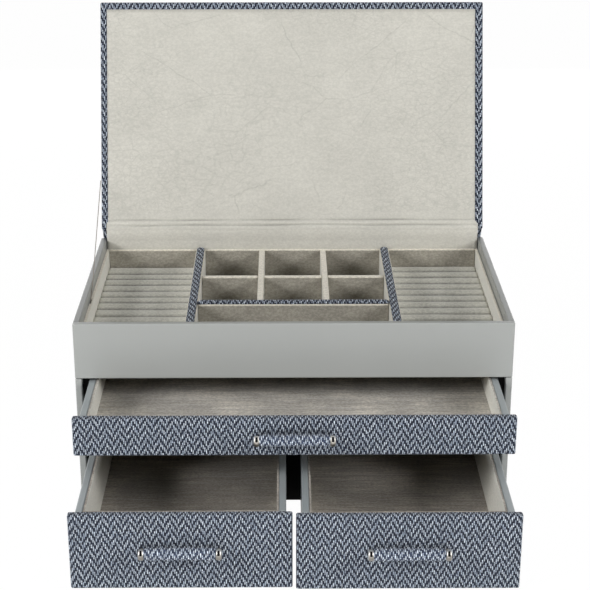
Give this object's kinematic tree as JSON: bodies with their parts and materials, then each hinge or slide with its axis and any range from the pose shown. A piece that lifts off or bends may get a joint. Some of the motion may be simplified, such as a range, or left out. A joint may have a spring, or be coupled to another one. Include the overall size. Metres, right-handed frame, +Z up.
{
  "type": "jewellery chest with drawers",
  "caption": "Lacquered jewellery chest with a herringbone cloth lid, velvet-lined tray with ring rolls, one wide drawer and two deep drawers",
  "frame": {"origin": "on the table, under the middle of the chest as it stands open", "axes": "+X to the viewer's right along the front, +Y from the front to the back, +Z up"},
  "size_m": [0.33, 0.3888, 0.3512],
  "materials": {
    "lacquer": "satin grey lacquer",
    "cloth": "navy and pale herringbone weave",
    "velvet": "short warm grey pile",
    "black": "black-faced board",
    "nickel": "polished nickel",
    "thread": "fine twisted cord"
  },
  "bodies": {
    "case": {"side_panel_left": "lacquer", "side_panel_right": "lacquer", "fascia": "lacquer", "front_rail": "lacquer", "back_panel": "lacquer", "base_panel": "black", "bay_side_left": "black", "bay_side_right": "black", "drawer_shelf": "black", "bay_ceiling": "black", "bay_divider": "black", "tray_floor": "velvet", "tray_liner_left": "velvet", "tray_liner_right": "velvet", "tray_liner_front": "velvet", "tray_liner_rear": "velvet", "broad_divider_left": "velvet", "broad_divider_right": "velvet", "divider_cap_left": "cloth", "divider_cap_right": "cloth", "ring_rolls_left": "velvet", "ring_rolls_right": "velvet", "broad_divider_cross": "velvet", "divider_cap_cross": "cloth", "cell_divider_left": "velvet", "cell_divider_right": "velvet", "cell_cross_divider": "velvet", "hinge_cloth": "velvet", "spine_strip": "cloth", "lid_stay": "thread"},
    "lid": {"lid_board": "cloth", "lid_lining": "velvet"},
    "wide_drawer": {"wide_drawer_front": "cloth", "wide_drawer_side_left": "lacquer", "wide_drawer_side_right": "lacquer", "wide_drawer_back": "lacquer", "wide_drawer_bottom": "black", "wide_drawer_lining": "velvet", "wide_drawer_pull_bar": "cloth", "wide_drawer_pull_post_left": "nickel", "wide_drawer_pull_post_right": "nickel"},
    "left_drawer": {"left_drawer_front": "cloth", "left_drawer_side_left": "lacquer", "left_drawer_side_right": "lacquer", "left_drawer_back": "lacquer", "left_drawer_bottom": "black", "left_drawer_lining": "velvet", "left_drawer_pull_bar": "cloth", "left_drawer_pull_post_left": "nickel", "left_drawer_pull_post_right": "nickel"},
    "right_drawer": {"right_drawer_front": "cloth", "right_drawer_side_left": "lacquer", "right_drawer_side_right": "lacquer", "right_drawer_back": "lacquer", "right_drawer_bottom": "black", "right_drawer_lining": "velvet", "right_drawer_pull_bar": "cloth", "right_drawer_pull_post_left": "nickel", "right_drawer_pull_post_right": "nickel"}
  },
  "joints": [
    {"name": "lid_hinge", "type": "hinge", "parent": "case", "child": "lid", "pos_m": [0, 0.1303, 0.1658], "axis": [1, 0, 0], "range_deg": [0, 109.3], "deforming": ["hinge_cloth", "lid_stay"]},
    {"name": "wide_drawer_slide", "type": "slide", "parent": "case", "child": "wide_drawer", "axis": [0, 1, 0], "range_m": [-0.0899, 0.0651]},
    {"name": "left_drawer_slide", "type": "slide", "parent": "case", "child": "left_drawer", "axis": [0, 1, 0], "range_m": [-0.0435, 0.1115]},
    {"name": "right_drawer_slide", "type": "slide", "parent": "case", "child": "right_drawer", "axis": [0, 1, 0], "range_m": [-0.0413, 0.1137]}
  ]
}
